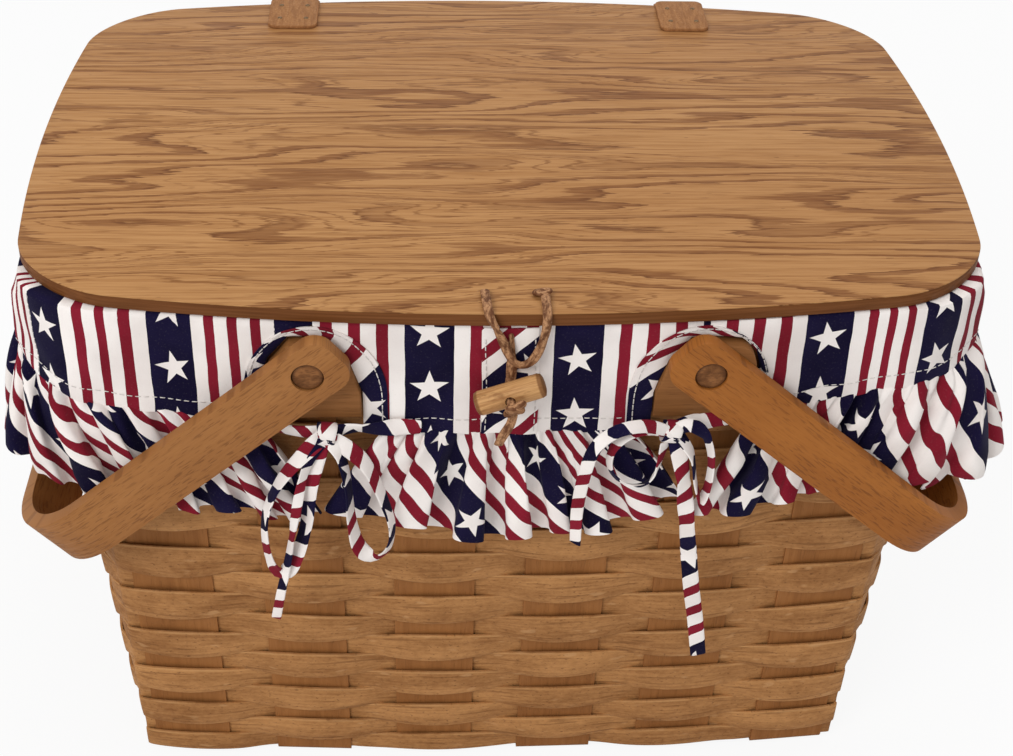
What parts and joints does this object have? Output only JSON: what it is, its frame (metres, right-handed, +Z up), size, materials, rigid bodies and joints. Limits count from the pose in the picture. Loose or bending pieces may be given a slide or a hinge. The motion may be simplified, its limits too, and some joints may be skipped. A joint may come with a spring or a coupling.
{
  "type": "picnic basket",
  "caption": "Woven splint picnic basket with a hinged board lid, two swing handles, a toggle closure and a frilled stars-and-stripes cloth liner.",
  "frame": {"origin": "on the floor, under the middle of the basket", "axes": "+X to the basket's right as seen from its front, +Y to the hinged back, +Z up"},
  "size_m": [0.5106, 0.3774, 0.3423],
  "materials": {
    "upright_wood": "varnished splint, satin",
    "weaver_wood": "varnished splint, satin",
    "rim_wood": "stained and varnished, satin",
    "handle_wood": "bent wood, varnished",
    "peg_wood": "turned end grain, satin",
    "lid_core_wood": "stained board edge",
    "lid_veneer_wood": "open-grained, satin varnish",
    "toggle_wood": "turned, satin",
    "leather": "plain brown, matt",
    "liner_cloth": "woven cotton",
    "skirt_cloth": "printed cotton, red and white stripes with navy columns of white stars",
    "ruffle_cloth": "printed cotton, red and white stripes with navy columns of white stars",
    "tie_cloth": "folded cotton tape in the same print"
  },
  "bodies": {
    "basket_body": {"upright_crosswise_1": "upright_wood", "upright_crosswise_2": "upright_wood", "upright_crosswise_3": "upright_wood", "upright_crosswise_4": "upright_wood", "upright_crosswise_5": "upright_wood", "upright_crosswise_6": "upright_wood", "upright_lengthwise_1": "upright_wood", "upright_lengthwise_2": "upright_wood", "upright_lengthwise_3": "upright_wood", "upright_lengthwise_4": "upright_wood", "weaver_row_01": "weaver_wood", "weaver_row_02": "weaver_wood", "weaver_row_03": "weaver_wood", "weaver_row_04": "weaver_wood", "weaver_row_05": "weaver_wood", "weaver_row_06": "weaver_wood", "weaver_row_07": "weaver_wood", "weaver_row_08": "weaver_wood", "weaver_row_09": "weaver_wood", "weaver_row_10": "weaver_wood", "weaver_row_11": "weaver_wood", "weaver_row_12": "weaver_wood", "weaver_row_13": "weaver_wood", "weaver_row_14": "weaver_wood", "weaver_row_15": "weaver_wood", "weaver_row_16": "weaver_wood", "weaver_row_17": "weaver_wood", "rim_band_outer": "rim_wood", "rim_band_inner": "rim_wood", "ear_left_front": "rim_wood", "peg_left_front": "peg_wood", "ear_left_back": "rim_wood", "peg_left_back": "peg_wood", "ear_right_front": "rim_wood", "peg_right_front": "peg_wood", "ear_right_back": "rim_wood", "peg_right_back": "peg_wood", "hinge_leaf_basket_left": "leather", "hinge_leaf_basket_right": "leather", "liner_bag": "liner_cloth", "skirt_front": "skirt_cloth", "skirt_right": "skirt_cloth", "skirt_back": "skirt_cloth", "skirt_left": "skirt_cloth", "ruffle_front": "ruffle_cloth", "ruffle_right": "ruffle_cloth", "ruffle_back": "ruffle_cloth", "ruffle_left": "ruffle_cloth", "tie_bow_left": "tie_cloth", "tie_bow_right": "tie_cloth"},
    "handle_left_body": {"handle_left": "handle_wood"},
    "handle_right_body": {"handle_right": "handle_wood"},
    "lid": {"lid_board": "lid_core_wood", "lid_veneer": "lid_veneer_wood", "hinge_leaf_lid_left": "leather", "hinge_leaf_lid_right": "leather"},
    "toggle_body": {"toggle": "toggle_wood"},
    "thong_body": {"toggle_thong": "leather"},
    "lid_loop_body": {"lid_loop": "leather"}
  },
  "joints": [
    {"name": "lid_hinge", "type": "hinge", "parent": "basket_body", "child": "lid", "pos_m": [0, 0.17, 0.3418], "axis": [-1, 0, 0], "range_deg": [0, 100]},
    {"name": "handle_left_swing", "type": "hinge", "parent": "basket_body", "child": "handle_left_body", "pos_m": [-0.0965, 0, 0.3093], "axis": [0, -1, 0], "range_deg": [-155.2, 0]},
    {"name": "handle_right_swing", "type": "hinge", "parent": "basket_body", "child": "handle_right_body", "pos_m": [0.0965, 0, 0.3093], "axis": [0, 1, 0], "range_deg": [-155.2, 0]},
    {"name": "lid_loop_lift", "type": "hinge", "parent": "lid", "child": "lid_loop_body", "pos_m": [0.0025, -0.155, 0.34115], "axis": [-1, 0, 0], "range_deg": [0, 100]},
    {"name": "toggle_thong_swing", "type": "hinge", "parent": "basket_body", "child": "thong_body", "pos_m": [0, -0.1718, 0.328], "axis": [0, 1, 0], "range_deg": [-25, 25]},
    {"name": "toggle_turn", "type": "hinge", "parent": "thong_body", "child": "toggle_body", "pos_m": [0, -0.18165, 0.299], "axis": [0, 1, 0], "range_deg": [-110, 70]}
  ]
}
